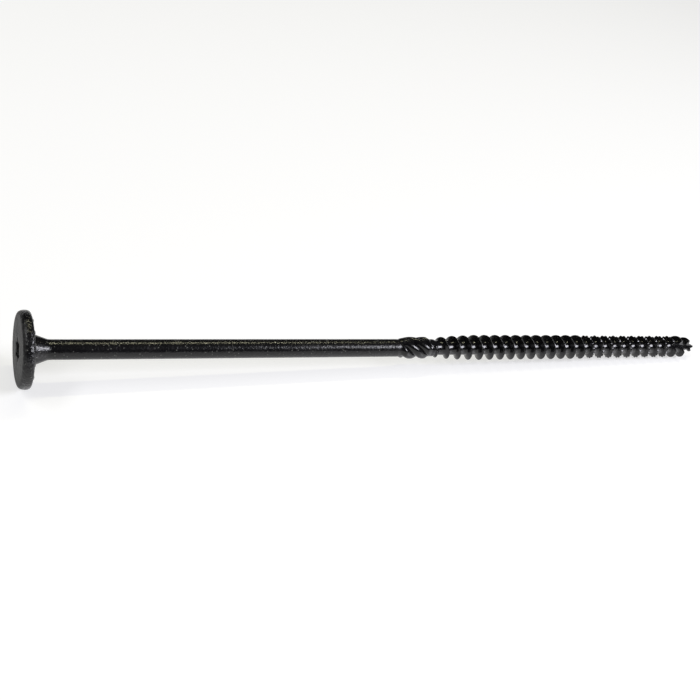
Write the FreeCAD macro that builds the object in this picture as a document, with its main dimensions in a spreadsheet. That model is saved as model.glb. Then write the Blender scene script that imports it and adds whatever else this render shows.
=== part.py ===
import FreeCAD, Part
import math
import os

import Sketcher
from FreeCAD import Placement, Rotation, Vector

# A flange-head construction screw, lying on a flat surface as it comes to rest.
# It is drawn along X, with the bearing face of its head at x = 0 and its tip at
# +X. Turns about its axis are right-handed and are counted from straight up.
# The rest pose is given to the finished screw at the end.

doc = FreeCAD.newDocument("construction_screw")

# Driving dimensions, in millimetres, degrees and counts
SIZES = [
    ("length", 240.0, "bearing face to tip"),
    ("head_diameter", 21.6, "widest band of the head"),
    ("face_diameter", 20.2, "top face of the head"),
    ("bearing_diameter", 20.6, "bearing face of the head"),
    ("head_height", 3.1, "thickness of the head"),
    ("rim_low", 0.6, "bearing face to the widest band"),
    ("rim_high", 1.9, "bearing face to the far edge of the widest band"),
    ("star_outer", 6.75, "drive recess across its lobes"),
    ("star_inner", 4.85, "drive recess across its waists"),
    ("lobe_radius", 0.55, "rounding of each lobe"),
    ("lobes", 6, "lobes of the drive recess"),
    ("star_depth", 3.8, "depth of the recess walls"),
    ("star_floor", 1.2, "depth of the cone below the walls"),
    ("nibs", 14, "braking ribs under the head"),
    ("nib_reach", 10.0, "axis to the outer end of a braking rib"),
    ("nib_length", 4.4, "length of a braking rib"),
    ("nib_width", 1.5, "width of a braking rib"),
    ("nib_height", 0.25, "height of a braking rib"),
    ("neck_diameter", 9.3, "neck cone at the head"),
    ("neck_length", 4.75, "length of the neck cone"),
    ("shank_diameter", 5.65, "plain shank and collar"),
    ("shank_end", 113.3, "bearing face to the shank cutter"),
    ("cutter_length", 11.2, "length of the shank cutter"),
    ("cutter_diameter", 7.05, "crests of the shank cutter"),
    ("cutter_valley", 5.1, "valleys of the shank cutter"),
    ("cutter_ribs", 4, "ribs of the shank cutter"),
    ("cutter_lead", 19.0, "advance of a cutter rib in one turn"),
    ("cutter_spread", 1.9, "half width of a cutter rib at its feet, along the screw"),
    ("cutter_rise", 1.4, "rise at each end of a cutter rib"),
    ("cutter_strip", 0.8, "length of one strip of a cutter rib"),
    ("cutter_turn", 63.4, "turn of the first cutter rib where it starts"),
    ("collar_length", 1.2, "plain collar between cutter and thread"),
    ("shoulder", 0.5, "length of each small step in diameter"),
    ("root_diameter", 4.8, "thread root"),
    ("thread_diameter", 8.35, "thread crest"),
    ("front_diameter", 8.0, "thread crest from the serrated turns to the point"),
    ("pitch", 4.25, "advance of the thread in one turn"),
    ("flank_angle", 21.0, "slope of each thread flank"),
    ("thread_turn", 28.6, "turn of the thread where it starts"),
    ("first_rise", 1.3, "length of the steep start of the thread"),
    ("first_height", 0.85, "height of the thread where its steep start ends"),
    ("run_in", 12.5, "steep start to the full height"),
    ("plain_thread", 61.0, "collar to the serrated turns"),
    ("serrated_thread", 41.0, "length of the serrated turns"),
    ("strips_per_turn", 31, "notches and teeth in a serrated turn, strips in every turn"),
    ("notch_depth", 0.42, "depth of a notch"),
    ("point_length", 7.5, "length of the tapered point"),
    ("nose_length", 4.0, "slender end of the point"),
    ("nose_diameter", 2.6, "point where its slender end begins"),
    ("nose_overlap", 2.4, "length of the nose under the last turn of the thread"),
    ("nose_slope", 0.26, "rise of the nose under the thread"),
    ("tip_diameter", 0.6, "flat end of the point"),
    ("last_diameter", 5.8, "thread crest where it stops on the point"),
    ("thread_stop", 3.2, "end of the thread to the tip"),
    ("flute_length", 14.5, "cutting flute in the point"),
    ("flute_angle", 95.0, "angle between the walls of the flute"),
    ("flute_turn", 53.0, "turn of the flute"),
    ("buried", 0.15, "depth of a rib's feet in what carries it"),
]

sheet = doc.addObject("Spreadsheet::Sheet", "Sizes")
for row, (alias, number, meaning) in enumerate(SIZES, 1):
    sheet.set(f"A{row}", meaning)
    sheet.set(f"B{row}", str(number))
    sheet.setAlias(f"B{row}", alias)
doc.recompute()


def expand(formula):
    # A formula names sizes in braces, as in {head_diameter} / 2
    return formula.replace("{", "Sizes.").replace("}", "")


def size(formula):
    return float(sheet.evalExpression(expand(formula)))


def bind(target, place, formula):
    target.setExpression(place, expand(formula))


# Places along the axis that several parts of the screw share
CUTTER_END = "({shank_end} + {cutter_length})"
THREAD_START = f"({CUTTER_END} + {{collar_length}})"
POINT_START = "({length} - {point_length})"
NOSE_START = "({length} - {nose_length})"
NOSE_BACK = f"({NOSE_START} - {{nose_overlap}})"
THREAD_END = "({length} - {thread_stop})"
FLUTE_START = "({length} - {flute_length})"


def origin_part(body, role):
    return next(part for part in body.Origin.OriginFeatures if part.Role == role)


def new_sketch(body, name, plane):
    sketch = body.newObject("Sketcher::SketchObject", name)
    sketch.AttachmentSupport = [(origin_part(body, plane), "")]
    sketch.MapMode = "FlatFace"
    return sketch


def hold(sketch, kind, *targets, at):
    # One dimension of a sketch, driven by a formula
    number = sketch.addConstraint(Sketcher.Constraint(kind, *targets, size(at)))
    bind(sketch, f"Constraints[{number}]", at)


def draw_outline(sketch, corners):
    # A closed outline of straight sides, each corner held from the origin
    points = [Vector(size(across), size(up), 0) for across, up in corners]
    for side, start in enumerate(points):
        sketch.addGeometry(Part.LineSegment(start, points[(side + 1) % len(points)]))
    for side, (across, up) in enumerate(corners):
        following = (side + 1) % len(corners)
        sketch.addConstraint(Sketcher.Constraint("Coincident", side, 2, following, 1))
        hold(sketch, "DistanceX", -1, 1, side, 1, at=across)
        hold(sketch, "DistanceY", -1, 1, side, 1, at=up)


def turn_round(body, kind, name, section):
    # A half section turned all the way round the screw's axis
    turned = body.newObject(f"PartDesign::{kind}", name)
    turned.Profile = section
    turned.ReferenceAxis = (origin_part(body, "X_Axis"), [""])
    turned.Angle = 360
    body.Tip = turned
    doc.recompute()


def ring_of(body, feature, count):
    # Copies of a feature, evenly spaced round the screw's axis
    doc.recompute()
    ring = body.newObject("PartDesign::PolarPattern", f"{feature.Name}_ring")
    ring.Originals = [feature]
    ring.Axis = (origin_part(body, "X_Axis"), [""])
    ring.Angle = 360
    bind(ring, "Occurrences", count)
    body.Tip = ring
    doc.recompute()


# The blank: head, neck, shank, cutter valley and collar
blank = doc.addObject("PartDesign::Body", "blank")
blank_section = new_sketch(blank, "blank_section", "XZ_Plane")
draw_outline(
    blank_section,
    [
        ("-{head_height}", "0"),
        (f"{THREAD_START} + {{shoulder}}", "0"),
        (f"{THREAD_START} + {{shoulder}}", "{root_diameter} / 2 - {buried}"),
        (THREAD_START, "{shank_diameter} / 2"),
        (CUTTER_END, "{shank_diameter} / 2"),
        (f"{CUTTER_END} - {{shoulder}}", "{cutter_valley} / 2"),
        ("{shank_end} + {shoulder}", "{cutter_valley} / 2"),
        ("{shank_end}", "{shank_diameter} / 2"),
        ("{neck_length}", "{shank_diameter} / 2"),
        ("0", "{neck_diameter} / 2"),
        ("0", "{bearing_diameter} / 2"),
        ("-{rim_low}", "{head_diameter} / 2"),
        ("-{rim_high}", "{head_diameter} / 2"),
        ("-{head_height}", "{face_diameter} / 2"),
    ],
)
turn_round(blank, "Revolution", "blank_turned", blank_section)

# The star recess is one lobe with half a waist on each side, repeated round the
# axis. The arc of the lobe runs smoothly into the hollow arcs of the waists.
LOBE_PLACE = "({star_outer} / 2 - {lobe_radius})"
HALF_LOBE = "(180 deg / {lobes})"
LOBE_LEVEL = f"({LOBE_PLACE} * cos({HALF_LOBE}))"
WAIST_RADIUS = (
    f"(({{lobe_radius}}^2 - {LOBE_PLACE}^2 - {{star_inner}}^2 / 4 + {{star_inner}} * {LOBE_LEVEL})"
    f" / ({{star_inner}} - 2 * {LOBE_LEVEL} - 2 * {{lobe_radius}}))"
)


def draw_lobe(sketch):
    half = math.radians(size(HALF_LOBE))
    radius = size(WAIST_RADIUS)
    out = Vector(0, 0, 1)
    middle = Vector(size(LOBE_PLACE), 0, 0)
    ray = Vector(math.cos(half), math.sin(half), 0)
    mirrored = Vector(ray.x, -ray.y, 0)
    near = size("{star_inner} / 2")
    upper = ray * (near + radius)
    lower = mirrored * (near + radius)
    meeting = math.atan2(upper.y, upper.x - middle.x)
    lobe, upper_arc, upper_side, lower_side, lower_arc = sketch.addGeometry(
        [
            Part.ArcOfCircle(Part.Circle(middle, out, size("{lobe_radius}")), -meeting, meeting),
            Part.ArcOfCircle(Part.Circle(upper, out, radius), math.pi + half, math.pi + meeting),
            Part.LineSegment(ray * near, Vector()),
            Part.LineSegment(Vector(), mirrored * near),
            Part.ArcOfCircle(Part.Circle(lower, out, radius), math.pi - meeting, math.pi - half),
        ]
    )
    joins = [
        ("Coincident", upper_arc, 1, upper_side, 1),
        ("Coincident", upper_side, 2, -1, 1),
        ("Coincident", lower_side, 1, -1, 1),
        ("Coincident", lower_side, 2, lower_arc, 2),
        ("Tangent", lobe, 2, upper_arc, 2),
        ("Tangent", lobe, 1, lower_arc, 1),
        ("PointOnObject", upper_arc, 3, upper_side),
        ("PointOnObject", lower_arc, 3, lower_side),
        ("PointOnObject", lobe, 3, -1),
    ]
    sketch.addConstraint([Sketcher.Constraint(*join) for join in joins])
    hold(sketch, "Radius", lobe, at="{lobe_radius}")
    hold(sketch, "DistanceX", -1, 1, lobe, 3, at=LOBE_PLACE)
    for side, end, sign in ((upper_side, 1, ""), (lower_side, 2, "-")):
        hold(sketch, "DistanceX", -1, 1, side, end, at=f"{{star_inner}} / 2 * cos({HALF_LOBE})")
        hold(sketch, "DistanceY", -1, 1, side, end, at=f"{sign}{{star_inner}} / 2 * sin({HALF_LOBE})")


lobe_outline = new_sketch(blank, "lobe_outline", "YZ_Plane")
bind(lobe_outline, "AttachmentOffset.Base.z", "-{head_height}")
draw_lobe(lobe_outline)
lobe_cut = blank.newObject("PartDesign::Pocket", "lobe_cut")
lobe_cut.Profile = lobe_outline
lobe_cut.Reversed = True
bind(lobe_cut, "Length", "{star_depth}")
ring_of(blank, lobe_cut, "{lobes}")

RECESS_FLOOR = "({star_depth} - {head_height})"
floor_section = new_sketch(blank, "floor_section", "XZ_Plane")
draw_outline(
    floor_section,
    [(RECESS_FLOOR, "0"), (f"{RECESS_FLOOR} + {{star_floor}}", "0"), (RECESS_FLOOR, "{star_inner} / 2")],
)
turn_round(blank, "Groove", "recess_floor", floor_section)

# Braking ribs under the head, each a low ridge that points at the axis
nib_section = new_sketch(blank, "nib_section", "XY_Plane")
bind(nib_section, "AttachmentOffset.Base.z", "{nib_reach} - {nib_length}")
draw_outline(
    nib_section,
    [
        ("-{nib_height}", "-{nib_width} / 2"),
        ("0", "-{nib_width} / 2"),
        ("{nib_height}", "0"),
        ("0", "{nib_width} / 2"),
        ("-{nib_height}", "{nib_width} / 2"),
    ],
)
nib = blank.newObject("PartDesign::Pad", "nib")
nib.Profile = nib_section
bind(nib, "Length", "{nib_length}")
ring_of(blank, nib, "{nibs}")

# The nose: the slender end of the point, with a cone that the last turns of the
# thread sit on
nose = doc.addObject("PartDesign::Body", "nose")
nose_section = new_sketch(nose, "nose_section", "XZ_Plane")
draw_outline(
    nose_section,
    [
        (NOSE_BACK, "0"),
        ("{length}", "0"),
        ("{length}", "{tip_diameter} / 2"),
        (NOSE_START, "{nose_diameter} / 2"),
        (NOSE_BACK, "{nose_diameter} / 2 + {nose_overlap} * {nose_slope}"),
    ],
)
turn_round(nose, "Revolution", "nose_turned", nose_section)


# The thread and the cutter ribs are skins of ruled strips between lines that
# wind round the screw. A line is a list of its points, evenly spaced in turn.


def height_at(outline, x):
    # The radius of a straight-sided outline at a place along the axis
    for (left, low), (right, high) in zip(outline, outline[1:]):
        if x <= right:
            return low + (high - low) * max(0, x - left) / (right - left)
    return outline[-1][1]


def wound(x, radius, turn):
    angle = math.radians(turn)
    return Vector(x, -radius * math.sin(angle), radius * math.cos(angle))


def strips(line, other):
    corners = zip(line, line[1:], other, other[1:])
    return [Part.makeRuledSurface(Part.makeLine(a, b), Part.makeLine(c, d)) for a, b, c, d in corners]


def flat_face(points):
    return Part.Face(Part.makePolygon([*points, points[0]]))


def solid_of(faces):
    skin = Part.makeShell(faces)
    skin.sewShape()
    return Part.makeSolid(skin)


# The thread's skin crosses the root from the turn behind, then climbs and falls
# over the crest. It starts inside the collar and ends inside the nose, closed at
# both ends by a flat cap and by a wall that winds round the axis for one turn.
strips_per_turn = round(size("{strips_per_turn}"))
pitch = size("{pitch}")
flank_slope = math.tan(math.radians(size("{flank_angle}")))
thread_start = size(THREAD_START)
serrated_start = thread_start + size("{plain_thread}")
serrated_end = serrated_start + size("{serrated_thread}")
full_height_start = thread_start + size("{first_rise} + {run_in}")
root_line = [
    (size(POINT_START), size("{root_diameter} / 2")),
    (size(NOSE_START), size("{nose_diameter} / 2 - {buried}")),
    (size("{length}"), size("{tip_diameter} / 2")),
]
crest_line = [
    (thread_start, size("{root_diameter} / 2 + {buried} / 2")),
    (thread_start + size("{first_rise}"), size("{root_diameter} / 2 + {first_height}")),
    (full_height_start, size("{thread_diameter} / 2")),
    (serrated_start, size("{thread_diameter} / 2")),
    (serrated_start + 2 * pitch, size("{front_diameter} / 2")),
    (size(POINT_START), size("{front_diameter} / 2")),
    (size(THREAD_END), size("{last_diameter} / 2")),
]


def thread_section(step):
    # Back foot, crest and front foot, in the plane through the axis at one step
    x = thread_start + pitch * step / strips_per_turn
    turn = size("{thread_turn}") + 360 * step / strips_per_turn
    top = height_at(crest_line, x)
    if step % 2 and serrated_start < x < serrated_end:
        top -= size("{notch_depth}")
    spread = (top - height_at(root_line, x)) * flank_slope
    back, front = x - spread, x + spread
    return (
        wound(back, height_at(root_line, back), turn),
        wound(x, top, turn),
        wound(front, height_at(root_line, front), turn),
    )


def thread_solid():
    last = int((size(THREAD_END) - thread_start) / pitch * strips_per_turn)
    backs, tops, fronts = zip(*[thread_section(step) for step in range(last + 1)])
    behind = [thread_section(step)[2] for step in range(-strips_per_turn, 0)] + list(fronts)
    faces = strips(behind[: last + 1], backs) + strips(backs, tops) + strips(tops, fronts)
    for end, wall in ((0, behind[: strips_per_turn + 1]), (last, behind[last:])):
        axis = [Vector(point.x, 0, 0) for point in wall]
        faces += strips(wall, axis)
        faces.append(flat_face([wall[0], backs[end], tops[end], fronts[end], *reversed(axis)]))
    return solid_of(faces)


thread = doc.addObject("Part::Feature", "thread")
thread.Shape = thread_solid()

# The cutter's ribs wind steeply, several abreast, and rise out of the valley at
# both ends. Their feet are buried in it.
cutter_feet = size("{cutter_valley} / 2 - {buried}")
cutter_slope = size("{cutter_spread} / ({cutter_diameter} / 2 - {cutter_valley} / 2 + {buried})")
cutter_start = size("{shank_end}")
cutter_rise = size("{cutter_rise}")
cutter_crest = [
    (cutter_start, size("{cutter_valley} / 2 - {buried} / 2")),
    (cutter_start + cutter_rise, size("{cutter_diameter} / 2")),
    (size(CUTTER_END) - cutter_rise, size("{cutter_diameter} / 2")),
    (size(CUTTER_END), size("{cutter_valley} / 2 - {buried} / 2")),
]


def cutter_section(x, first_turn):
    turn = first_turn + 360 * (x - cutter_start) / size("{cutter_lead}")
    top = height_at(cutter_crest, x)
    spread = (top - cutter_feet) * cutter_slope
    return wound(x - spread, cutter_feet, turn), wound(x, top, turn), wound(x + spread, cutter_feet, turn)


def cutter_rib(first_turn):
    places = [cutter_start]
    for (left, _), (right, _) in zip(cutter_crest, cutter_crest[1:]):
        count = math.ceil((right - left) / size("{cutter_strip}"))
        places += [left + (right - left) * step / count for step in range(1, count + 1)]
    sections = [cutter_section(x, first_turn) for x in places]
    backs, tops, fronts = zip(*sections)
    faces = strips(backs, tops) + strips(tops, fronts) + strips(fronts, backs)
    return solid_of([*faces, flat_face(sections[0]), flat_face(sections[-1])])


cutter_ribs = []
for number in range(round(size("{cutter_ribs}"))):
    rib = doc.addObject("Part::Feature", "cutter_rib")
    rib.Shape = cutter_rib(size("{cutter_turn}") + 360 * number / round(size("{cutter_ribs}")))
    cutter_ribs.append(rib)

uncut = doc.addObject("Part::MultiFuse", "uncut_screw")
uncut.Shapes = [blank, nose, thread, *cutter_ribs]
uncut.Refine = False

# The flute: a wedge that sinks from the thread root to the axis at the tip. It
# is drawn upright, then turned to its side of the screw.
FLUTE_TOP = "{thread_diameter}"
flute = doc.addObject("PartDesign::Body", "flute")


def flute_section(name, place, bottom):
    section = new_sketch(flute, name, "YZ_Plane")
    bind(section, "AttachmentOffset.Base.z", place)
    half_width = f"(({FLUTE_TOP} - {bottom}) * tan({{flute_angle}} * 0.5 deg))"
    draw_outline(section, [("0", bottom), (half_width, FLUTE_TOP), (f"-{half_width}", FLUTE_TOP)])
    return section


wedge = flute.newObject("PartDesign::AdditiveLoft", "flute_wedge")
wedge.Profile = flute_section("flute_shallow_end", FLUTE_START, "{root_diameter} / 2")
wedge.Sections = [flute_section("flute_deep_end", "{length}", "0")]
wedge.Ruled = True
flute.Placement = Placement(Vector(), Rotation(Vector(1, 0, 0), 0))
bind(flute, "Placement.Rotation.Angle", "{flute_turn} * 1 deg")

screw = doc.addObject("Part::Cut", "screw")
screw.Label = "construction_screw"
screw.Base = uncut
screw.Tool = flute
screw.Refine = False

# At rest the rim of the head and the last full turn of the thread touch down,
# which tilts the axis. The origin is under the middle of the screw.
FIRST_LOW_TURN = f"({THREAD_START} + {{pitch}} * (180 - {{thread_turn}}) / 360)"
TURNS_TO_POINT = f"floor(({POINT_START} - {FIRST_LOW_TURN}) / {{pitch}})"
TOUCHDOWN = f"({FIRST_LOW_TURN} + {{pitch}} * {TURNS_TO_POINT})"
TILT = f"atan(({{head_diameter}} - {{front_diameter}}) / 2 / ({TOUCHDOWN} + {{rim_low}}))"
HEAD_END = f"({{head_height}} * cos({TILT}) + {{face_diameter}} / 2 * sin({TILT}))"
TIP_END = f"({{length}} * cos({TILT}) + {{tip_diameter}} / 2 * sin({TILT}))"
screw.Placement = Placement(Vector(), Rotation(Vector(0, 1, 0), 1))
bind(screw, "Placement.Rotation.Angle", TILT)
bind(screw, "Placement.Base.x", f"({HEAD_END} - {TIP_END}) / 2")
bind(screw, "Placement.Base.z", f"{{head_diameter}} / 2 * cos({TILT}) - {{rim_low}} * sin({TILT})")
doc.recompute()

for built in doc.Objects:
    if {"Invalid", "Error"} & set(built.State):
        raise RuntimeError(f"{built.Name} did not build: {built.State}")
shape = screw.Shape
if shape.isNull() or not shape.isValid() or len(shape.Solids) != 1:
    raise RuntimeError("the screw is not one valid solid")

os.makedirs("parts", exist_ok=True)
shape.exportStep(f"parts/{screw.Label}.step")
box = shape.optimalBoundingBox(True)
print(f"{screw.Label}: {shape.Volume:.1f} mm3, tilt {size(TILT):.4f} degrees")
print(f"x {box.XMin:.3f} to {box.XMax:.3f}, y {box.YMin:.3f} to {box.YMax:.3f}, z {box.ZMin:.3f} to {box.ZMax:.3f}")
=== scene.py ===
# %% [markdown]
# # A construction screw
# This lesson dresses one long black timber screw. The real one is cold forged
# from a single wire: the head is pressed, the thread, the shank cutter and the
# point are rolled, and the whole screw is dipped in a thin glossy black coat.
# It lies on its side, on the rim of its head and on the thread near its point.
# We load the measured model first, because it fixes every size and place.

# %% Load the frame
import math

import bmesh
import bpy
from mathutils import Matrix, Vector


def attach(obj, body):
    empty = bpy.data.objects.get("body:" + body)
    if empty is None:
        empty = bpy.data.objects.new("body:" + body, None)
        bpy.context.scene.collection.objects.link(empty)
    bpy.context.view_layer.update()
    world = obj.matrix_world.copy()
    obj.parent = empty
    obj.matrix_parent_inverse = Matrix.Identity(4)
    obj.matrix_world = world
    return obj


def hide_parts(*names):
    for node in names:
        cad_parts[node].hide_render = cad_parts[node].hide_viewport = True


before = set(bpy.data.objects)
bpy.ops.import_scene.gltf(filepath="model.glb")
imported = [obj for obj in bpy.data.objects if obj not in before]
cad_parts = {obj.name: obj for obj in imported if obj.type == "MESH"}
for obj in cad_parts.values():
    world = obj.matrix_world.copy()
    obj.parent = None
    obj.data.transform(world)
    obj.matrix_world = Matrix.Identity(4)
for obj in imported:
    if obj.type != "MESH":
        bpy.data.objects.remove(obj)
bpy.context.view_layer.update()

# %% [markdown]
# ## Sizes
# All sizes of the screw are written in millimetres, as a drawing would give
# them, and Blender gets them in metres. The screw is modelled along the X axis
# with the bearing face of its head at x = 0 and the tip at x = 240. It is laid
# down in its rest pose near the end, so that until then every shape can be
# worked on round a plain axis. The main sizes come first, and those of a single
# feature stand where it is made.

# %% The main sizes of the screw
MM = 0.001
LENGTH = 240.0
HEAD_HEIGHT = 3.1
SHANK_RADIUS = 2.825
SHANK_END = 113.3
CUTTER_END = 124.5
PITCH = 4.25
ROOT_RADIUS = 2.4
CREST_RADIUS = 4.175
print("screw length over all:", LENGTH + HEAD_HEIGHT, "mm")

# %% [markdown]
# ## Working in edit mode
# A few small helpers keep the steps short. Blender's operators act on whatever
# is selected, so `only` makes sure that one object alone is selected, and
# `choose` selects vertices by their place. On a turned part nearly every shape
# is a change of radius, so `draw_in` pulls or pushes vertices towards the axis:
# it gathers the vertices that need the same scale, to a five-hundredth, and
# resizes each group about the axis, as one would by hand with S, Shift+X. Two
# places or radii count as the same when they are less than NEAR apart.

# %% Helpers for selecting and shaping
NEAR = 0.01
SCALE_STEPS = 500


def only(piece):
    """Selects one object alone, in object mode."""
    if bpy.context.object and bpy.context.object.mode == "EDIT":
        bpy.ops.object.mode_set(mode="OBJECT")
    bpy.ops.object.select_all(action="DESELECT")
    piece.select_set(True)
    bpy.context.view_layer.objects.active = piece


def place_of(vertex):
    """Place along the axis and radius in mm, and turn in degrees, right-handed from up."""
    x, y, z = vertex.co / MM
    return x, math.hypot(y, z), math.degrees(math.atan2(-y, z))


def choose(piece, test):
    """In edit mode, selects the vertices that pass a test, and what lies between them."""
    if piece.mode != "EDIT":
        bpy.ops.object.mode_set(mode="EDIT")
    bpy.ops.mesh.select_mode(type="VERT")
    bpy.ops.mesh.select_all(action="DESELECT")
    shape = bmesh.from_edit_mesh(piece.data)
    for vertex in shape.verts:
        vertex.select = test(vertex)
    shape.select_flush_mode()
    bmesh.update_edit_mesh(piece.data)


def draw_in(piece, wanted):
    """Gives each vertex the radius that wanted(x, radius, turn) returns. None leaves it."""
    only(piece)
    bpy.ops.object.mode_set(mode="EDIT")
    bpy.ops.mesh.select_mode(type="VERT")
    shape = bmesh.from_edit_mesh(piece.data)
    groups = {}
    for vertex in shape.verts:
        x, radius, turn = place_of(vertex)
        new = wanted(x, radius, turn)
        if new is not None and radius > 0:
            scale = round(new / radius * SCALE_STEPS) / SCALE_STEPS
            groups.setdefault(scale, []).append(vertex)
    groups.pop(1.0, None)
    for scale, members in groups.items():
        bpy.ops.mesh.select_all(action="DESELECT")
        for vertex in members:
            vertex.select = True
        bpy.ops.transform.resize(value=(1, scale, scale), center_override=(0, 0, 0))
    bpy.ops.object.mode_set(mode="OBJECT")
    return len(groups)


def apply_modifier(piece, kind, **values):
    """Gives a piece one modifier with its values, and applies it."""
    only(piece)
    modifier = piece.modifiers.new(kind.title(), kind)
    for name, value in values.items():
        setattr(modifier, name, value)
    bpy.ops.object.modifier_apply(modifier=modifier.name)


def count(piece):
    return f"{piece.name}: {len(piece.data.vertices)} vertices, {len(piece.data.polygons)} faces"


# %% [markdown]
# ## A turned body
# A lathe part is drawn as a list of stations, each a place along the axis and a
# radius. Spinning a profile would do it too, but extruding a circle from
# station to station keeps one clean ring of vertices at each, which the star
# recess and the cutter need later. The first and the last ring are closed.

# %% The turning helper
AROUND = 96


def turned(name, stations, around=AROUND, wound=(0, 0, 0)):
    """Extrudes a circle through stations of (place, radius) in mm. Between the first two of
    the wound numbers it also turns, by the third in degrees per mm."""
    wound_from, wound_to, per_mm = wound
    (x, radius), *rest = stations
    bpy.ops.object.select_all(action="DESELECT")
    bpy.ops.mesh.primitive_circle_add(
        vertices=around, radius=radius * MM, fill_type="NGON",
        location=(x * MM, 0, 0), rotation=(0, math.pi / 2, 0),
    )
    piece = bpy.context.object
    piece.name = piece.data.name = name
    bpy.ops.object.transform_apply(location=True, rotation=True, scale=True)
    bpy.ops.object.mode_set(mode="EDIT")
    bpy.ops.mesh.select_all(action="SELECT")
    for place, wide in rest:
        bpy.ops.mesh.extrude_region_move()
        bpy.ops.transform.translate(value=((place - x) * MM, 0, 0))
        if wound_from < place <= wound_to:
            bpy.ops.transform.rotate(
                value=-math.radians(per_mm * (place - x)), orient_axis="X",
                center_override=(0, 0, 0),
            )
        bpy.ops.transform.resize(
            value=(1, wide / radius, wide / radius), center_override=(0, 0, 0)
        )
        x, radius = place, wide
    bpy.ops.mesh.select_all(action="SELECT")
    bpy.ops.mesh.normals_make_consistent(inside=False)
    bpy.ops.object.mode_set(mode="OBJECT")
    return piece


# %% [markdown]
# ## The head, the neck and the shank
# The head, the plain shank and the cutter below it are one turned body. The
# chain of rings starts at the bottom of the drive recess, climbs out of it,
# crosses the face, rolls over the rounded rim, and then runs down the neck cone
# and the long shank. Along the cutter the rings are also turned a little at each
# station, so that the lines of vertices wind at the lead of its ribs. A rib is
# then only a change of radius along such a line.

# %% Turn the blank
RECESS_FLOOR = 0.7
STAR_RING = 3.375
CHAMFER_RING = 3.43
EDGE_RING = 3.56
CUTTER_VALLEY = 2.52
CUTTER_LEAD = 19.0
CUTTER_RINGS = 36
recess_stations = [
    (1.9, 0.06), (RECESS_FLOOR, 2.38), (RECESS_FLOOR, STAR_RING), (-2.9, STAR_RING),
    (-3.04, CHAMFER_RING),
]
face_stations = [(-HEAD_HEIGHT, wide) for wide in (EDGE_RING, 5.2, 9.1, 9.55)]
rim_stations = [
    (-3.07, 9.85), (-2.95, 10.12), (-2.72, 10.38), (-2.35, 10.6), (-1.9, 10.74), (-1.4, 10.79),
    (-0.95, 10.77), (-0.6, 10.7), (-0.3, 10.55), (-0.1, 10.36), (0.0, 10.1),
]
neck_stations = [
    (0.0, 7.5), (0.0, 4.95), (0.1, 4.7), (0.5, 4.47), (2.4, 3.73), (4.2, 3.04), (4.75, 2.88),
]
shank_stations = [(place, SHANK_RADIUS) for place in (5.6, 6.4, 40.0, 76.0, 111.8, 112.6)]
shank_stations.append((113.0, 2.78))
cutter_stations = [
    (SHANK_END + (CUTTER_END - SHANK_END) * step / CUTTER_RINGS, CUTTER_VALLEY)
    for step in range(CUTTER_RINGS + 1)
]
collar_stations = [(124.75, 2.8), (125.7, 2.81), (126.15, 2.72), (126.7, 2.42), (128.5, 2.2)]
head_stations = recess_stations + face_stations + rim_stations + neck_stations
screw = turned(
    "screw",
    head_stations + shank_stations + cutter_stations + collar_stations,
    wound=(SHANK_END, CUTTER_END, 360 / CUTTER_LEAD),
)
print(count(screw))

# %% [markdown]
# ## The star recess
# The drive is a six-lobed star. Each lobe is a small arc, and a larger hollow
# arc runs smoothly from one lobe to the next. Three rings of the blank stand
# where the walls of the recess are, so their vertices are drawn in to the star's
# outline, and the ring of the edge follows it a step further out. Cutting a star
# out with a boolean would give the same walls, but then the face would lose its
# clean rings.

# %% Shape the recess
LOBE_PLACE = 2.825
LOBE_RADIUS = 0.55
LOBE_EVERY = 60.0
LOBE_TURN = 90.0
WAIST = 2.425
EDGE_STEP = 0.22


def star_radius(turn):
    """Radius of the star's outline at a turn. One of its lobes points at LOBE_TURN."""
    off = abs((turn - LOBE_TURN + LOBE_EVERY / 2) % LOBE_EVERY - LOBE_EVERY / 2)
    half = math.radians(LOBE_EVERY / 2)
    level = LOBE_PLACE * math.cos(half)
    square = LOBE_RADIUS**2 - LOBE_PLACE**2 - WAIST**2 + 2 * WAIST * level
    hollow = square / (2 * (WAIST - level - LOBE_RADIUS))
    far = WAIST + hollow
    lobe = Vector((LOBE_PLACE, 0))
    middle = Vector((far * math.cos(half), far * math.sin(half)))
    join = lobe + (middle - lobe).normalized() * LOBE_RADIUS
    angle = math.radians(off)
    if angle < math.atan2(join.y, join.x):
        beyond = math.sqrt(LOBE_RADIUS**2 - (LOBE_PLACE * math.sin(angle)) ** 2)
        return LOBE_PLACE * math.cos(angle) + beyond
    across = half - angle
    return far * math.cos(across) - math.sqrt(hollow**2 - (far * math.sin(across)) ** 2)


def recess_wall(x, radius, turn):
    """The radius of the recess's walls, chamfer and edge. Other vertices stay."""
    if x > RECESS_FLOOR + NEAR:
        return None
    if STAR_RING - NEAR < radius < CHAMFER_RING + NEAR:
        return star_radius(turn) + radius - STAR_RING
    if abs(radius - EDGE_RING) < NEAR:
        return star_radius(turn) + EDGE_STEP
    return None


print("recess:", draw_in(screw, recess_wall), "groups of vertices drawn in")

# %% [markdown]
# ## The shank cutter
# The short knurl below the shank reams the hole, so that the shank slides
# through. It has four steep ribs with round crests and narrow valleys, and they
# rise out of the shank at one end and sink before the collar at the other.

# %% Raise the ribs of the cutter
RIBS = 4
RIB_RISE = 1.5
RIB_FULLNESS = 2.4
CUTTER_TURN = 63.4
CUTTER_CREST = 3.525
CUTTER_PLAIN = 2.8


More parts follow.
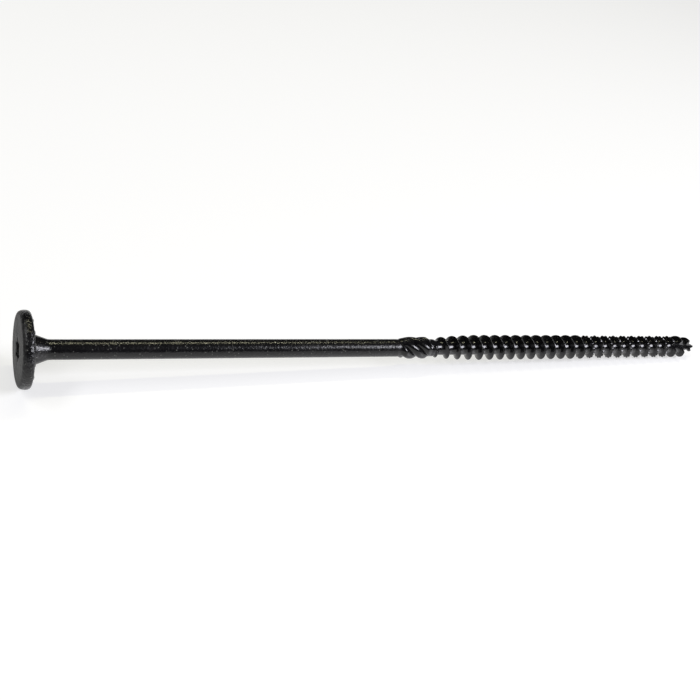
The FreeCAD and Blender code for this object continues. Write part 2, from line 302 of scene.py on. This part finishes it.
def cutter_rib(x, radius, turn):
    """The radius of the cutter's ribs and valleys, plain at both of its ends."""
    if not SHANK_END - NEAR < x < CUTTER_END + NEAR:
        return None
    phase = (turn - CUTTER_TURN - 360 * (x - SHANK_END) / CUTTER_LEAD) * RIBS / 360
    off = abs((phase + 0.5) % 1 - 0.5) * 2
    rise = min(1.0, (x - SHANK_END) / RIB_RISE, (CUTTER_END - x) / RIB_RISE)
    crest = CUTTER_VALLEY + (CUTTER_CREST - CUTTER_VALLEY) * (1 - off**RIB_FULLNESS)
    return CUTTER_PLAIN + (crest - CUTTER_PLAIN) * rise


print("cutter:", draw_in(screw, cutter_rib), "groups of vertices drawn in")

# %% [markdown]
# ## The thread
# A thread is one profile wound along a screw line. The profile line of a single
# pitch is drawn by extruding a vertex: the root, a small fillet, the back flank,
# the narrow flat crest and the front flank. The Screw modifier winds it, and
# each turn joins the one before, because the profile is exactly a pitch long.
# The screw line is fixed by one of its points, which is at THREAD_START along
# the screw and at THREAD_TURN degrees round it.

# %% Draw the profile and wind it
STEPS = 93
TURNS = 27
THREAD_START = 125.7
THREAD_TURN = 28.6
LAST_CREST = 238.6
FIRST_CREST = LAST_CREST - TURNS * PITCH
FIRST_TURN = THREAD_TURN + 360 * (FIRST_CREST - THREAD_START) / PITCH
TURNS_MERGE = 0.005
PROFILE = [
    (-3.2, ROOT_RADIUS), (-2.1, ROOT_RADIUS), (-1.05, ROOT_RADIUS), (-0.86, 2.5),
    (-0.52, 3.36), (-0.27, 3.95), (-0.2, 4.1), (-0.09, CREST_RADIUS), (0.09, CREST_RADIUS),
    (0.2, 4.1), (0.27, 3.95), (0.52, 3.36), (0.86, 2.5), (1.05, ROOT_RADIUS),
]


def drawn_line(name, points):
    """A line of points (place, radius) in mm, straight above the axis, extruded from a vertex."""
    bpy.ops.object.select_all(action="DESELECT")
    bpy.ops.mesh.primitive_plane_add(size=MM)
    piece = bpy.context.object
    piece.name = piece.data.name = name
    bpy.ops.object.mode_set(mode="EDIT")
    bpy.ops.mesh.merge(type="CENTER")
    x, z = points[0]
    bpy.ops.transform.translate(value=(x * MM, 0, z * MM))
    for place, radius in points[1:]:
        step = ((place - x) * MM, 0, (radius - z) * MM)
        bpy.ops.mesh.extrude_region_move(TRANSFORM_OT_translate={"value": step})
        x, z = place, radius
    bpy.ops.object.mode_set(mode="OBJECT")
    return piece


thread = drawn_line("thread", PROFILE)
apply_modifier(
    thread, "SCREW", axis="X", angle=math.tau, screw_offset=PITCH * MM, iterations=TURNS,
    steps=STEPS, render_steps=STEPS,
)
bpy.ops.object.mode_set(mode="EDIT")
bpy.ops.mesh.select_all(action="SELECT")
bpy.ops.mesh.remove_doubles(threshold=TURNS_MERGE * MM)
bpy.ops.transform.translate(value=(FIRST_CREST * MM, 0, 0))
bpy.ops.transform.rotate(
    value=-math.radians(FIRST_TURN), orient_axis="X", center_override=(0, 0, 0)
)
bpy.ops.object.mode_set(mode="OBJECT")
print(count(thread), "wound to a crest at", LAST_CREST, "mm")

# %% [markdown]
# ## Run-in, serrations and point
# The thread isn't the same all along. It grows out of the collar over three
# turns, its front half is notched so that it cuts its own way, and on the point
# both the crest and the root get smaller. All of that is again a matter of
# radius. One line gives the crest's radius along the screw and another the
# core's, and every vertex keeps its share of the height between them. Along the
# notched stretch, NOTCH says for six steps in a row how much of the notch's
# depth the crest keeps. Past NOSE_FROM the core hides just inside the nose that
# the next step adds.

# %% Shape the thread along its length
CREST_LINE = [
    (124.2, ROOT_RADIUS), (125.4, 2.75), (126.4, 3.05), (127.4, 3.3), (129.4, 3.52),
    (131.2, 3.68), (134.0, 3.88), (139.8, 4.08), (142.0, CREST_RADIUS), (186.0, CREST_RADIUS),
    (190.0, 4.07), (228.0, 3.95), (233.0, 3.95), (233.8, 3.75), (236.0, 3.3), (236.9, 2.6),
    (237.5, 1.75), (238.1, 1.3), (LAST_CREST, 0.9),
]
CORE_LINE = [
    (232.3, ROOT_RADIUS), (234.2, 1.85), (236.0, 1.36), (237.5, 1.08), (238.7, 0.78),
    (239.6, 0.46), (LENGTH, 0.24),
]
NOTCHED_FROM, NOTCHED_TO = 186.7, 227.7
NOTCH = (1.0, 1.0, 0.45, 0.0, 0.0, 0.45)
NOTCH_DEPTH = 0.42
NOSE_FROM = 234.2
HIDDEN = 0.04


def along(line, x):
    """The radius of a line of (place, radius) points at a place."""
    for (left, low), (right, high) in zip(line, line[1:]):
        if x <= right:
            return low + (high - low) * max(0.0, x - left) / (right - left)
    return line[-1][1]


def crest_place(x, turn):
    """The place of the nearest crest in the plane of a vertex."""
    first = FIRST_CREST + PITCH * (turn - FIRST_TURN) / 360
    return first + PITCH * round((x - first) / PITCH)


def thread_height(x, radius, turn):
    """The radius that a vertex of the even thread gets at its place along the screw."""
    crest_at = crest_place(x, turn)
    crest = along(CREST_LINE, crest_at)
    core = along(CORE_LINE, x) - (HIDDEN if x > NOSE_FROM else 0)
    share = (radius - ROOT_RADIUS) / (CREST_RADIUS - ROOT_RADIUS)
    height = core + share * (max(crest, core) - core)
    if NOTCHED_FROM < crest_at < NOTCHED_TO:
        step = round((crest_at - FIRST_CREST) / PITCH * STEPS)
        height = min(height, crest - NOTCH_DEPTH * (1 - NOTCH[step % len(NOTCH)]))
    return height


print("thread:", draw_in(thread, thread_height), "groups of vertices drawn in")

# %% [markdown]
# ## Close the thread's ends
# The wound surface is still open at both ends. Their edges are extruded and
# scaled almost to the axis, and the slim holes that are left are filled. These
# inner walls vanish when the thread is united with the blank and the nose, which
# reach into it. The nose is the round tip of the core. It starts a little inside
# the thread and then follows the core's line.

# %% Close the thread and add the nose
ALMOST_SHUT = 0.02
NOSE_SIDES = 40
NOSE_INSIDE = 234.0
NOSE_PLACES = (234.4, 235.2, 236.0, 236.8, 237.5, 238.1, 238.7, 239.2, 239.6, 239.85, LENGTH)
only(thread)
bpy.ops.object.mode_set(mode="EDIT")
bpy.ops.mesh.select_mode(type="VERT")
bpy.ops.mesh.select_all(action="DESELECT")
bpy.ops.mesh.select_non_manifold()
bpy.ops.mesh.extrude_region_move()
bpy.ops.transform.resize(value=(1, ALMOST_SHUT, ALMOST_SHUT), center_override=(0, 0, 0))
bpy.ops.mesh.fill_holes(sides=0)
bpy.ops.mesh.select_all(action="SELECT")
bpy.ops.mesh.normals_make_consistent(inside=False)
bpy.ops.object.mode_set(mode="OBJECT")
nose_stations = [(232.6, 2.2), (NOSE_INSIDE, along(CORE_LINE, NOSE_INSIDE) - 2 * HIDDEN)]
nose_stations += [(place, along(CORE_LINE, place)) for place in NOSE_PLACES]
nose = turned("nose", nose_stations, around=NOSE_SIDES)
print(count(thread), "and", count(nose))

# %% [markdown]
# ## Braking ribs under the head
# Fourteen low ribs under the head grip the timber as the screw seats. One rib is
# made from a cube whose side towards the timber is narrowed to a ridge, and is
# then copied round the axis.

# %% Make the braking ribs
NIBS = 14
NIB_SIZE = (0.5, 1.5, 4.4)
NIB_RIDGE = (1, 0.35, 0.9)
NIB_PLACE = 7.75
bpy.ops.object.select_all(action="DESELECT")
bpy.ops.mesh.primitive_cube_add(size=1)
nib = bpy.context.object
nib.name = "nib"
bpy.ops.object.mode_set(mode="EDIT")
bpy.ops.transform.resize(value=tuple(side * MM for side in NIB_SIZE))
bpy.ops.mesh.subdivide(number_cuts=1)
choose(nib, lambda vertex: vertex.co.x > NEAR * MM)
bpy.ops.transform.resize(value=NIB_RIDGE)
bpy.ops.mesh.select_all(action="SELECT")
bpy.ops.transform.translate(value=(0, 0, NIB_PLACE * MM))
bpy.ops.object.mode_set(mode="OBJECT")
nibs = [nib]
for number in range(1, NIBS):
    only(nib)
    bpy.ops.object.duplicate(linked=False)
    nibs.append(bpy.context.object)
    bpy.ops.object.mode_set(mode="EDIT")
    bpy.ops.mesh.select_all(action="SELECT")
    bpy.ops.transform.rotate(
        value=math.tau * number / NIBS, orient_axis="X", center_override=(0, 0, 0)
    )
    bpy.ops.object.mode_set(mode="OBJECT")
print(len(nibs), "braking ribs")

# %% [markdown]
# ## The flute
# The point is cut open by a V-shaped flute, which gives the thread a cutting
# edge and clears the chips. The cutting tool is a wedge: a V section drawn from
# three vertices and extruded along the screw, with its bottom sinking from the
# core's surface to just past the axis. It ends a little beyond the tip.

# %% Make the wedge that cuts the flute
FLUTE_TURN = 53.0
FLUTE_START = 225.5
FLUTE_ANGLE = 95.0
WEDGE_TOP = 6.0
WEDGE_MIDDLE = 5.0
PAST_TIP = 0.3
PAST_AXIS = 0.03
half_width = (WEDGE_TOP - ROOT_RADIUS) * math.tan(math.radians(FLUTE_ANGLE / 2))
across = (0, -2 * half_width * MM, 0)
lengthwise = ((LENGTH + PAST_TIP - FLUTE_START) * MM, 0, 0)
spread = WEDGE_TOP / (WEDGE_TOP - ROOT_RADIUS)


def is_high(vertex):
    return vertex.co.z > WEDGE_MIDDLE * MM


def is_far(vertex):
    return vertex.co.x > LENGTH * MM


wedge = drawn_line("wedge", [(FLUTE_START, ROOT_RADIUS), (FLUTE_START, WEDGE_TOP)])
only(wedge)
choose(wedge, is_high)
bpy.ops.transform.translate(value=(0, half_width * MM, 0))
bpy.ops.mesh.extrude_region_move(TRANSFORM_OT_translate={"value": across})
bpy.ops.mesh.select_all(action="SELECT")
bpy.ops.mesh.edge_face_add()
bpy.ops.mesh.extrude_region_move(TRANSFORM_OT_translate={"value": lengthwise})
choose(wedge, lambda vertex: is_far(vertex) and not is_high(vertex))
bpy.ops.transform.translate(value=(0, 0, -(ROOT_RADIUS + PAST_AXIS) * MM))
choose(wedge, lambda vertex: is_far(vertex) and is_high(vertex))
bpy.ops.transform.resize(value=(1, spread, 1), center_override=(0, 0, 0))
bpy.ops.mesh.select_all(action="SELECT")
bpy.ops.mesh.normals_make_consistent(inside=False)
bpy.ops.transform.rotate(
    value=-math.radians(FLUTE_TURN), orient_axis="X", center_override=(0, 0, 0)
)
bpy.ops.object.mode_set(mode="OBJECT")
print(count(wedge))

# %% [markdown]
# ## One piece of steel
# The real screw has no joints, so its parts become one closed mesh. Boolean
# modifiers unite the ribs, the thread and the nose with the blank and cut the
# flute out. The exact solver is used, because many of these faces nearly touch.
# Edges sharper than SMOOTH_TO degrees stay crisp, and the rest is shaded smooth.

# %% Unite the parts
SEAM_MERGE = 0.002
SMOOTH_TO = 34


def combine(piece, other, operation):
    """Unites a piece with another one, or cuts it with that, and removes the other."""
    apply_modifier(piece, "BOOLEAN", operation=operation, object=other, solver="EXACT")
    bpy.data.objects.remove(other)


only(nib)
for each in nibs:
    each.select_set(True)
bpy.ops.object.join()
for part in (nib, thread, nose):
    combine(screw, part, "UNION")
combine(screw, wedge, "DIFFERENCE")
only(screw)
bpy.ops.object.mode_set(mode="EDIT")
bpy.ops.mesh.select_all(action="SELECT")
bpy.ops.mesh.remove_doubles(threshold=SEAM_MERGE * MM)
bpy.ops.mesh.normals_make_consistent(inside=False)
bpy.ops.mesh.select_all(action="DESELECT")
bpy.ops.mesh.select_non_manifold()
bpy.ops.object.mode_set(mode="OBJECT")
faulty = sum(vertex.select for vertex in screw.data.vertices)
print(count(screw), "open or doubled vertices:", faulty)
bpy.ops.object.shade_smooth_by_angle(angle=math.radians(SMOOTH_TO))

# %% [markdown]
# ## Lay it down
# A screw can't stand unheld. It lies on the rim of its head and the last full
# turn of its thread, which tilts its axis by less than two degrees. The middle
# of the screw comes over the origin.

# %% The rest pose
TILT = 1.692826
BEARING_FACE = (-118.2543, 0, 10.7776)
tilted = Matrix.Rotation(math.radians(TILT), 4, "Y")
REST = Matrix.Translation(Vector(BEARING_FACE) * MM) @ tilted
screw.matrix_world = REST
only(screw)
bpy.ops.object.transform_apply(location=True, rotation=True, scale=True)
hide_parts("construction_screw")
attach(screw, "root")
for direction, name in enumerate("XYZ"):
    reach = [vertex.co[direction] / MM for vertex in screw.data.vertices]
    print("screw along", name, "from", round(min(reach), 3), "to", round(max(reach), 3), "mm")

# %% [markdown]
# ## The black coat
# The coat is a thin black paint baked on after dipping. It is glossy, but not
# even: a fine grain like orange peel breaks its highlights up, slow waves bend
# them, and small pits and dust specks sit in it. It lies thick and wrinkled on
# the head, where it gathered, and thin on the thread. Such marks could be
# painted on, but noise made by nodes keeps its scale on every side. The helpers
# below make a node group with named inputs and outputs, and add a node with its
# values or links in one line.

# %% Helpers for nodes
FLOAT, VECTOR = "NodeSocketFloat", "NodeSocketVector"


def new_group(name, inputs, outputs):
    """A node group with named inputs of (label, kind, value) and outputs of (label, kind)."""
    group = bpy.data.node_groups.new(name, "ShaderNodeTree")
    for label, kind, value in inputs:
        socket = group.interface.new_socket(label, in_out="INPUT", socket_type=kind)
        if value is not None:
            socket.default_value = value
    for label, kind in outputs:
        group.interface.new_socket(label, in_out="OUTPUT", socket_type=kind)
    given = group.nodes.new("NodeGroupInput").outputs
    return group, given, group.nodes.new("NodeGroupOutput").inputs


def add_node(tree, kind, inputs, **settings):
    """Adds a node. Each of its inputs is given a value, or the output of another node."""
    node = tree.nodes.new("ShaderNode" + kind)
    for name, value in settings.items():
        setattr(node, name, value)
    for label, value in inputs.items():
        if isinstance(value, bpy.types.NodeSocket):
            tree.links.new(value, node.inputs[label])
        else:
            node.inputs[label].default_value = value
    return node


def sum_of(tree, first, second):
    return add_node(tree, "Math", {0: first, 1: second}, operation="ADD").outputs[0]


def product_of(tree, first, second):
    return add_node(tree, "Math", {0: first, 1: second}, operation="MULTIPLY").outputs[0]


print("socket kinds:", FLOAT, "and", VECTOR)

# %% [markdown]
# ## Two groups for the marks
# `coat_grain` adds a fine noise and a slow one and gives a height in
# millimetres, so that the depth of a wrinkle can be written as a real size. It
# also gives the slow noise by itself, to mottle the gloss. `coat_dots` gives a
# mask of round dots from the cells of a Voronoi texture, for pits and specks.
# Each is built once and used twice, with its own values.

# %% Node groups of the coat
grain, given, result = new_group(
    "coat_grain",
    [
        ("Place", VECTOR, None), ("Fine scale", FLOAT, 2200.0), ("Fine height", FLOAT, 0.04),
        ("Wave scale", FLOAT, 160.0), ("Wave height", FLOAT, 0.1),
    ],
    [("Height", FLOAT), ("Mottle", FLOAT)],
)
fine, wave = [
    add_node(grain, "TexNoise", {"Vector": given["Place"], "Scale": given[scale], "Detail": 2.0})
    for scale in ("Fine scale", "Wave scale")
]
grain_height = sum_of(
    grain,
    product_of(grain, fine.outputs["Fac"], given["Fine height"]),
    product_of(grain, wave.outputs["Fac"], given["Wave height"]),
)
grain.links.new(grain_height, result["Height"])
grain.links.new(wave.outputs["Fac"], result["Mottle"])

dots, given, result = new_group(
    "coat_dots",
    [("Place", VECTOR, None), ("Scale", FLOAT, 1400.0), ("Size", FLOAT, 0.16)],
    [("Mask", FLOAT)],
)
cells = add_node(dots, "TexVoronoi", {"Vector": given["Place"], "Scale": given["Scale"]})
inside = add_node(
    dots, "MapRange",
    {"Value": cells.outputs["Distance"], "From Max": given["Size"], "To Min": 1.0, "To Max": 0.0},
    interpolation_type="SMOOTHSTEP",
)
dots.links.new(inside.outputs["Result"], result["Mask"])
print("node groups:", [group.name for group in bpy.data.node_groups])

# %% [markdown]
# ## Where a point is on the screw
# The finish changes from the head to the tip, so the material has to know how
# far along the screw a point is. A dot product with the direction of its axis
# gives that place. A ramp turns it into the roughness of the coat: dull on the
# stamped face of the head, and glossiest on the thread.

# %% Place along the screw, and its roughness
ROUGHNESS = [
    (-HEAD_HEIGHT, 0.72), (-2.9, 0.22), (0.0, 0.24), (6.0, 0.23), (112.0, 0.25), (114.0, 0.2),
    (LENGTH, 0.2),
]
RAMP_FROM, RAMP_TO = -5.0, 245.0
coat = bpy.data.materials.new("black_coat")
coat.use_nodes = True
coat_nodes = coat.node_tree
coat_shader = coat_nodes.nodes["Principled BSDF"]
where = coat_nodes.nodes.new("ShaderNodeTexCoord").outputs["Object"]
axis = REST.to_3x3() @ Vector((1, 0, 0))
axis_start = axis.dot(REST.translation)
dot = add_node(coat_nodes, "VectorMath", {0: where, 1: axis}, operation="DOT_PRODUCT")
from_face = sum_of(coat_nodes, dot.outputs["Value"], -axis_start)
place_along = product_of(coat_nodes, from_face, 1 / MM)


def between(low, high, at_low, at_high):
    """A value that goes from at_low to at_high between two places along the screw, in mm."""
    values = {"From Min": low, "From Max": high, "To Min": at_low, "To Max": at_high}
    return add_node(coat_nodes, "MapRange", {"Value": place_along, **values}).outputs["Result"]


ramp = add_node(coat_nodes, "ValToRGB", {"Fac": between(RAMP_FROM, RAMP_TO, 0.0, 1.0)})
while len(ramp.color_ramp.elements) < len(ROUGHNESS):
    ramp.color_ramp.elements.new(0.5)
for element, (place, value) in zip(ramp.color_ramp.elements, ROUGHNESS):
    element.position = (place - RAMP_FROM) / (RAMP_TO - RAMP_FROM)
    element.color = (value, value, value, 1)
print("roughness ramp with", len(ramp.color_ramp.elements), "stops")

# %% [markdown]
# ## The coat's relief
# The grain of the thick coat fades just below the head's bearing face, and that
# of the thin coat fades where the shank ends, because the rolled thread is
# smoother. Their heights and the pits' are added and feed one Bump node. They
# are in millimetres, so the bump's distance is one millimetre.

# %% Relief of the coat
THIN_COAT = {"Fine scale": 1500.0, "Fine height": 0.09, "Wave scale": 160.0, "Wave height": 0.1}
THICK_COAT = {"Fine scale": 1300.0, "Fine height": 0.26, "Wave scale": 450.0, "Wave height": 0.15}
PITS = {"Scale": 1400.0, "Size": 0.16}
PIT_DEPTH = 0.01
HEAD_FADE = (0.0, 0.8)
SHANK_FADE = (112.0, 116.0)
GRAIN_ON_THREAD = 0.15
thin_coat = add_node(coat_nodes, "Group", {"Place": where, **THIN_COAT}, node_tree=grain)
thick_coat = add_node(coat_nodes, "Group", {"Place": where, **THICK_COAT}, node_tree=grain)
pits = add_node(coat_nodes, "Group", {"Place": where, **PITS}, node_tree=dots)
on_head = between(*HEAD_FADE, 1.0, 0.0)
on_shank = between(*SHANK_FADE, 1.0, GRAIN_ON_THREAD)
grains = sum_of(
    coat_nodes,
    product_of(coat_nodes, thin_coat.outputs["Height"], on_shank),
    product_of(coat_nodes, thick_coat.outputs["Height"], on_head),
)
hollows = product_of(coat_nodes, pits.outputs["Mask"], -PIT_DEPTH)
relief = sum_of(coat_nodes, grains, hollows)
bump = add_node(coat_nodes, "Bump", {"Height": relief, "Distance": MM, "Strength": 1.0})
coat_nodes.links.new(bump.outputs["Normal"], coat_shader.inputs["Normal"])
print("relief of", THIN_COAT["Fine height"], "mm on the shank and",
      THICK_COAT["Fine height"], "mm on the head")

# %% [markdown]
# ## The coat's gloss and colour
# The slow waves also make the gloss a little uneven. The black is a shade paler
# in the pits, greyish in clouds on the head, and pale in the specks, which are
# fainter on the thread. The index of refraction is the same all over, so it is
# set on the shader itself.

# %% Gloss and colour of the coat
COAT_COLOUR = (0.0045, 0.0043, 0.005, 1.0)
PIT_COLOUR = (0.016, 0.015, 0.017, 1.0)
SPECK_COLOUR = (0.2, 0.2, 0.18, 1.0)
# Greyish clouds on the head, where the slow noise of the thick coat is high.
CLOUD_COLOUR = (0.012, 0.012, 0.013, 1.0)
COAT_IOR = 1.45
SPECKS = {"Scale": 900.0, "Size": 0.22}
SPECKS_ON_THREAD = 0.4
MOTTLE = {"From Min": 0.3, "From Max": 0.7, "To Min": -0.04, "To Max": 0.04}
CLOUDS = {"From Min": 0.42, "From Max": 0.62}
FACTOR, FIRST_COLOUR, SECOND_COLOUR, MIXED_COLOUR = 0, 6, 7, 2


def mixed(factor, first, second):
    """Two colours of the coat, mixed by a factor."""
    sockets = {FACTOR: factor, FIRST_COLOUR: first, SECOND_COLOUR: second}
    return add_node(coat_nodes, "Mix", sockets, data_type="RGBA").outputs[MIXED_COLOUR]


mottle = add_node(coat_nodes, "MapRange", {"Value": thin_coat.outputs["Mottle"], **MOTTLE})
roughness = sum_of(coat_nodes, ramp.outputs["Color"], mottle.outputs["Result"])
coat_nodes.links.new(roughness, coat_shader.inputs["Roughness"])

clouds = add_node(coat_nodes, "MapRange", {"Value": thick_coat.outputs["Mottle"], **CLOUDS})
specks = add_node(coat_nodes, "Group", {"Place": where, **SPECKS}, node_tree=dots)
clouds_seen = product_of(coat_nodes, clouds.outputs["Result"], on_head)
specks_left = between(*SHANK_FADE, 1.0, SPECKS_ON_THREAD)
specks_seen = product_of(coat_nodes, specks.outputs["Mask"], specks_left)
pitted = mixed(pits.outputs["Mask"], COAT_COLOUR, PIT_COLOUR)
clouded = mixed(clouds_seen, pitted, CLOUD_COLOUR)
specked = mixed(specks_seen, clouded, SPECK_COLOUR)
coat_nodes.links.new(specked, coat_shader.inputs["Base Color"])
coat_shader.inputs["IOR"].default_value = COAT_IOR
screw.data.materials.clear()
screw.data.materials.append(coat)
print("material:", coat.name, "with", len(coat_nodes.nodes), "nodes")

# %% [markdown]
# ## Camera
# The camera stands in front of the screw and above it, on the head's side, so
# that the screw gets smaller towards its tip. Its place is written as the screw's
# other places are: along the axis, out from it, and turned round it. It comes
# from the photograph's own perspective. The camera looks along a line that meets
# the axis near the middle, and is then pitched and rolled a little, in degrees.

# %% Camera
IMAGE = 700
FOCAL_PIXELS = 993.0
SENSOR = 36.0
CAMERA_TURN = 53.0
CAMERA_PLACE = -41.5
CAMERA_REACH = 277.35
LOOK_ALONG = 0.4446
LOOK_ACROSS = 0.8957
PITCH_DOWN = 0.11
ROLL = 0.295


def round_axis(turn, radius):
    """A vector straight out from the axis, at a turn."""
    angle = math.radians(turn)
    return Vector((0, -radius * math.sin(angle), radius * math.cos(angle)))


eye = Vector((CAMERA_PLACE, 0, 0)) + round_axis(CAMERA_TURN, CAMERA_REACH)
look = Vector((LOOK_ALONG, 0, 0)) - round_axis(CAMERA_TURN, LOOK_ACROSS)
look.normalize()
up = Vector((1, 0, 0)).cross(look).normalized()
aim = Matrix((look.cross(up), up, -look)).transposed().to_4x4()
pitched = Matrix.Rotation(math.radians(-PITCH_DOWN), 4, "X")
rolled = Matrix.Rotation(math.radians(-ROLL), 4, "Z")
bpy.ops.object.camera_add()
camera = bpy.context.object
camera.name = "camera"
camera.matrix_world = REST @ Matrix.Translation(eye * MM) @ aim @ pitched @ rolled
camera.data.lens = SENSOR * FOCAL_PIXELS / IMAGE
camera.data.sensor_width = SENSOR
camera.data.clip_start = 0.01
camera.data.clip_end = 20.0
bpy.context.scene.camera = camera
bpy.context.view_layer.update()


def pixel(x):
    """Where a point of the screw's axis, at a place in mm, comes in a square photograph."""
    seen = camera.matrix_world.inverted() @ (REST @ Vector((x * MM, 0, 0)))
    across, down = seen.x / -seen.z, -seen.y / -seen.z
    return tuple(round(IMAGE / 2 + FOCAL_PIXELS * part, 1) for part in (across, down))


print("camera at", [round(number, 4) for number in camera.location])
print("head face", pixel(-HEAD_HEIGHT), "cutter", pixel(SHANK_END), "tip", pixel(LENGTH))

# %% [markdown]
# ## Floor
# The screw lies on a plain white floor. Under lamps alone the floor would be
# grey, and more light would fall on the black coat too. So the floor also glows,
# but only for rays that come straight from the camera, off a mirror or through
# glass. It still keeps the screw's shadow.

# %% Floor
FLOOR_RADIUS = 6
FLOOR_COLOUR = (0.46, 0.46, 0.46, 1.0)
FLOOR_ROUGHNESS = 0.3
FLOOR_LIFT = 0.6
WHITE = (1, 1, 1, 1)


def seen_rays(tree):
    """One for rays straight from the camera, off a mirror or through glass, or else nought."""
    rays = tree.nodes.new("ShaderNodeLightPath").outputs
    seen = rays["Is Camera Ray"]
    for label in ("Is Glossy Ray", "Is Transmission Ray"):
        seen = add_node(tree, "Math", {0: seen, 1: rays[label]}, operation="MAXIMUM").outputs[0]
    return seen


bpy.ops.object.select_all(action="DESELECT")
bpy.ops.mesh.primitive_circle_add(vertices=AROUND, radius=FLOOR_RADIUS, fill_type="NGON")
floor = bpy.context.object
floor.name = "floor"
white = bpy.data.materials.new("white_floor")
white.use_nodes = True
floor_nodes = white.node_tree
floor_shader = floor_nodes.nodes["Principled BSDF"]
floor_shader.inputs["Base Color"].default_value = FLOOR_COLOUR
floor_shader.inputs["Roughness"].default_value = FLOOR_ROUGHNESS
floor_shader.inputs["Emission Color"].default_value = WHITE
lift = product_of(floor_nodes, seen_rays(floor_nodes), FLOOR_LIFT)
floor_nodes.links.new(lift, floor_shader.inputs["Emission Strength"])
floor.data.materials.append(white)
print("floor of radius", FLOOR_RADIUS, "m")

# %% [markdown]
# ## Light
# A black glossy thing shows little colour of its own, so what it mirrors is what
# shapes it. The white floor greys its lower side. A large cool soft box towards
# the tip gives the highlights on the neck, on the cutter and in the roots of the
# thread. One high beyond the head lights the head's face and rim, and a long
# narrow warm one above draws a fine line along the shank. The rest of the room
# is nearly dark to what the coat mirrors, so that it looks black, and gives all
# else a faint even light.

# %% Light
ROOM_SEEN = 0.012
ROOM_ELSE = 0.1
world = bpy.data.worlds.new("studio")
bpy.context.scene.world = world
world.use_nodes = True
room = world.node_tree
background = room.nodes["Background"].inputs
levels = {"To Min": ROOM_ELSE, "To Max": ROOM_SEEN}
level = add_node(room, "MapRange", {"Value": seen_rays(room), **levels})
room.links.new(level.outputs["Result"], background["Strength"])
background["Color"].default_value = WHITE


def soft_box(name, place, target, size, radiance, colour=(1, 1, 1), roll=0.0):
    """A rectangular lamp at a place, facing a target, rolled about that line by degrees. Its
    place and size are in metres, and its power follows from its size and radiance."""
    bpy.ops.object.light_add(type="AREA", location=place)
    lamp = bpy.context.object
    lamp.name = name
    facing = (Vector(place) - Vector(target)).normalized().to_track_quat("Z", "Y").to_matrix()
    lamp.rotation_euler = (facing @ Matrix.Rotation(math.radians(roll), 3, "Z")).to_euler()
    lamp.data.shape = "RECTANGLE"
    lamp.data.size, lamp.data.size_y = size
    lamp.data.energy = radiance * math.pi * size[0] * size[1]
    lamp.data.color = colour
    print(name, "of", round(lamp.data.energy, 1), "W")


soft_box(
    "large_soft_box", place=(0.78, -0.52, 0.60), target=(0, 0, 0.01), size=(0.52, 0.4),
    radiance=19.5, colour=(0.92, 0.92, 1.0), roll=-47,
)
soft_box(
    "side_soft_box", place=(-0.78, -0.10, 0.98), target=(-0.118, 0, 0.01), size=(1.0, 0.24),
    radiance=7, roll=-34,
)
soft_box(
    "long_strip", place=(0.23, 0.43, 1.10), target=(0.23, 0, 0.01), size=(0.76, 0.04),
    radiance=33, colour=(1.0, 0.97, 0.68),
)

# %% [markdown]
# ## Finish
# The Standard view shows colours as they are written.

# %% Finish
scene = bpy.context.scene
scene.view_settings.view_transform = "Standard"
